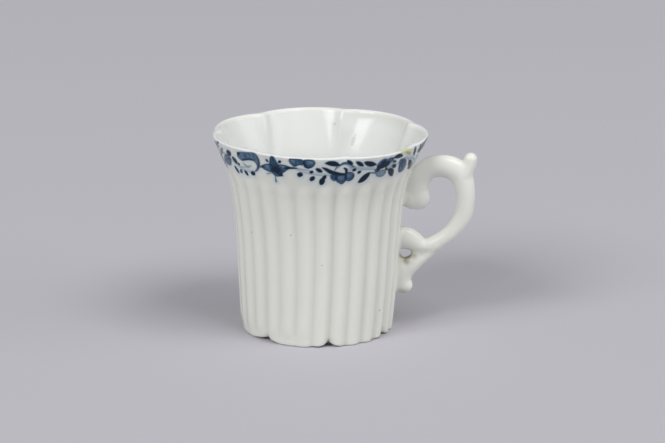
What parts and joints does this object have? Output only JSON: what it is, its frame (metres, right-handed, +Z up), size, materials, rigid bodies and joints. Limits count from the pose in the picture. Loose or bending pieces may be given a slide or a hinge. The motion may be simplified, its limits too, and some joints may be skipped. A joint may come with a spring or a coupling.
{
  "type": "coffee cup",
  "caption": "Small porcelain coffee cup: a lobed, reeded wall that flares to the rim, a recessed foot and a scroll handle with a thumb rest, for a painted blue flower border.",
  "frame": {"origin": "middle of the bounding box's underside, on the surface the cup stands on; the cup's own axis stands 7.86 mm from it towards -X", "axes": "+Z up towards the mouth, +X out through the handle, +Y across the cup to the left of the handle"},
  "size_m": [0.0762, 0.0618, 0.058],
  "materials": {
    "porcelain": "clear, glossy, slightly grey-green lead glaze on soft white porcelain",
    "slip_seam": "glossy glaze pooled over joining slip, a little darker and yellower"
  },
  "bodies": {
    "root": {"cup_body": "porcelain", "handle_bow": "porcelain", "thumb_rest": "porcelain", "lower_scroll": "porcelain", "upper_slip": "slip_seam", "middle_slip": "slip_seam", "lower_slip": "slip_seam"}
  },
  "joints": []
}
